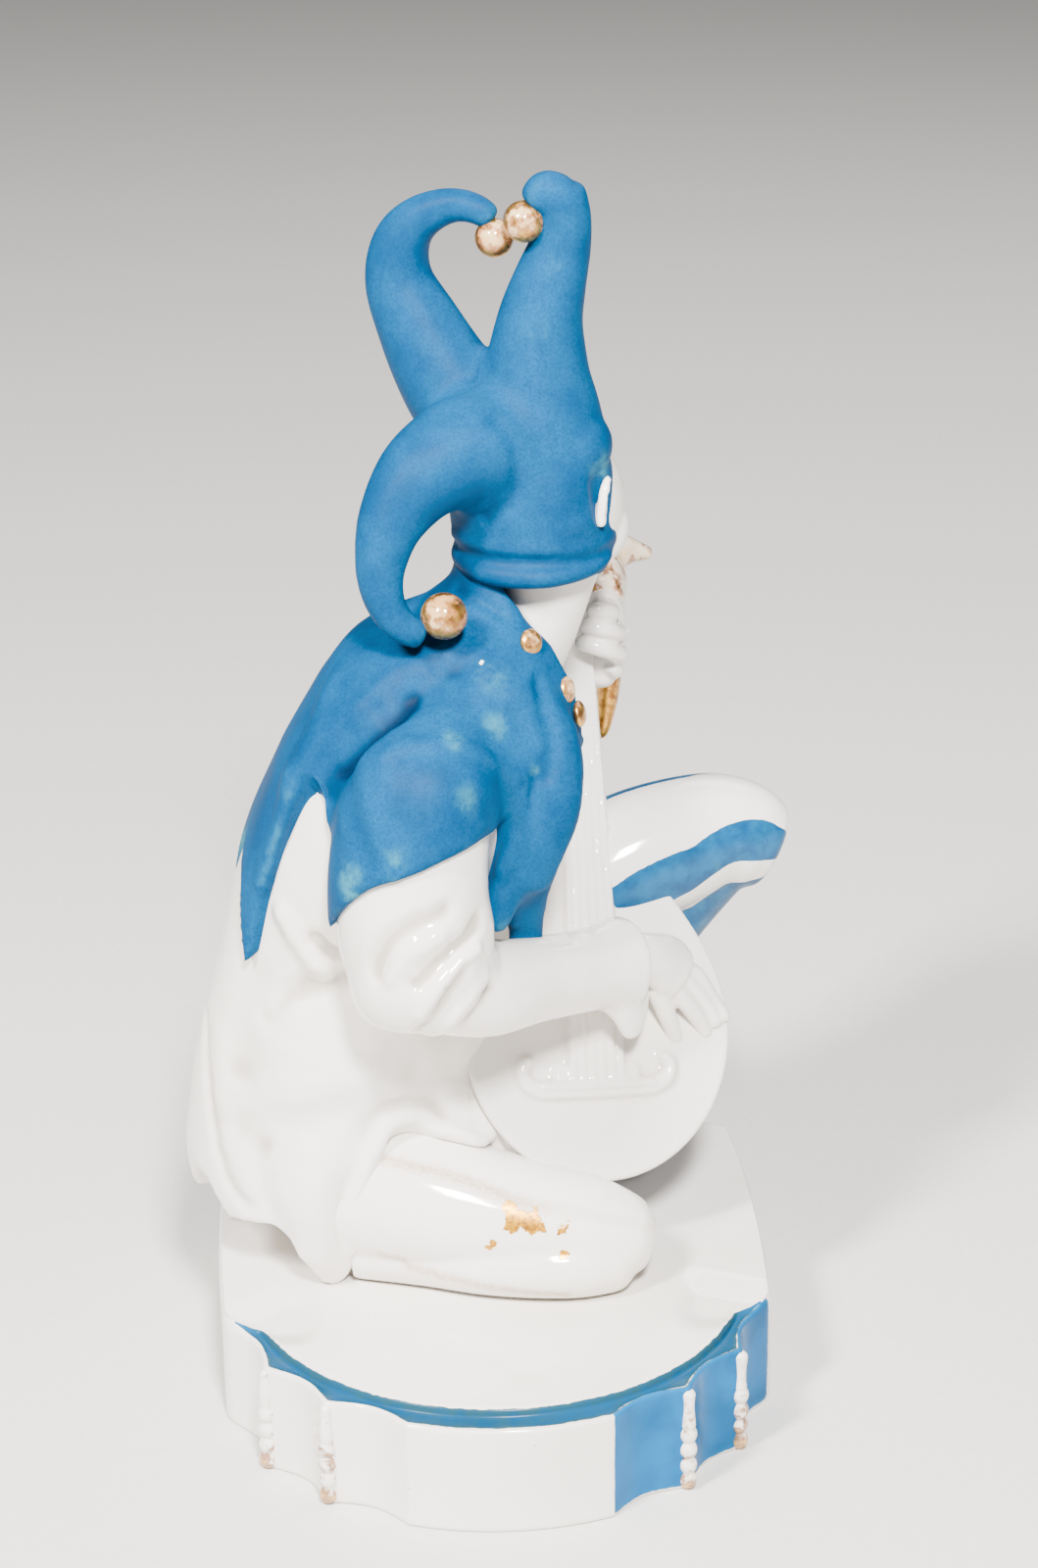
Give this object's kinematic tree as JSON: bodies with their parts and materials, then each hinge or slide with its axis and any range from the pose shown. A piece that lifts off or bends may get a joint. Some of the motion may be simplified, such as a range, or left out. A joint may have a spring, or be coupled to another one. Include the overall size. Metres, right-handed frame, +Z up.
{
  "type": "seated lute player figure",
  "caption": "Glazed ceramic figure of a hooded jester with curling bell-tipped horns, seated on a fluted oblong plinth and playing an upright lute.",
  "frame": {"origin": "centre of the plinth's flat underside, where it stands", "axes": "+Z up, +Y to the far round end of the plinth, +X the side the knees point to"},
  "size_m": [0.1654, 0.2128, 0.3214],
  "materials": {
    "glazed_porcelain": "glossy white glaze with matt turquoise blue and worn gilding"
  },
  "bodies": {
    "root": {"seated_jester_on_plinth": "glazed_porcelain"}
  },
  "joints": []
}
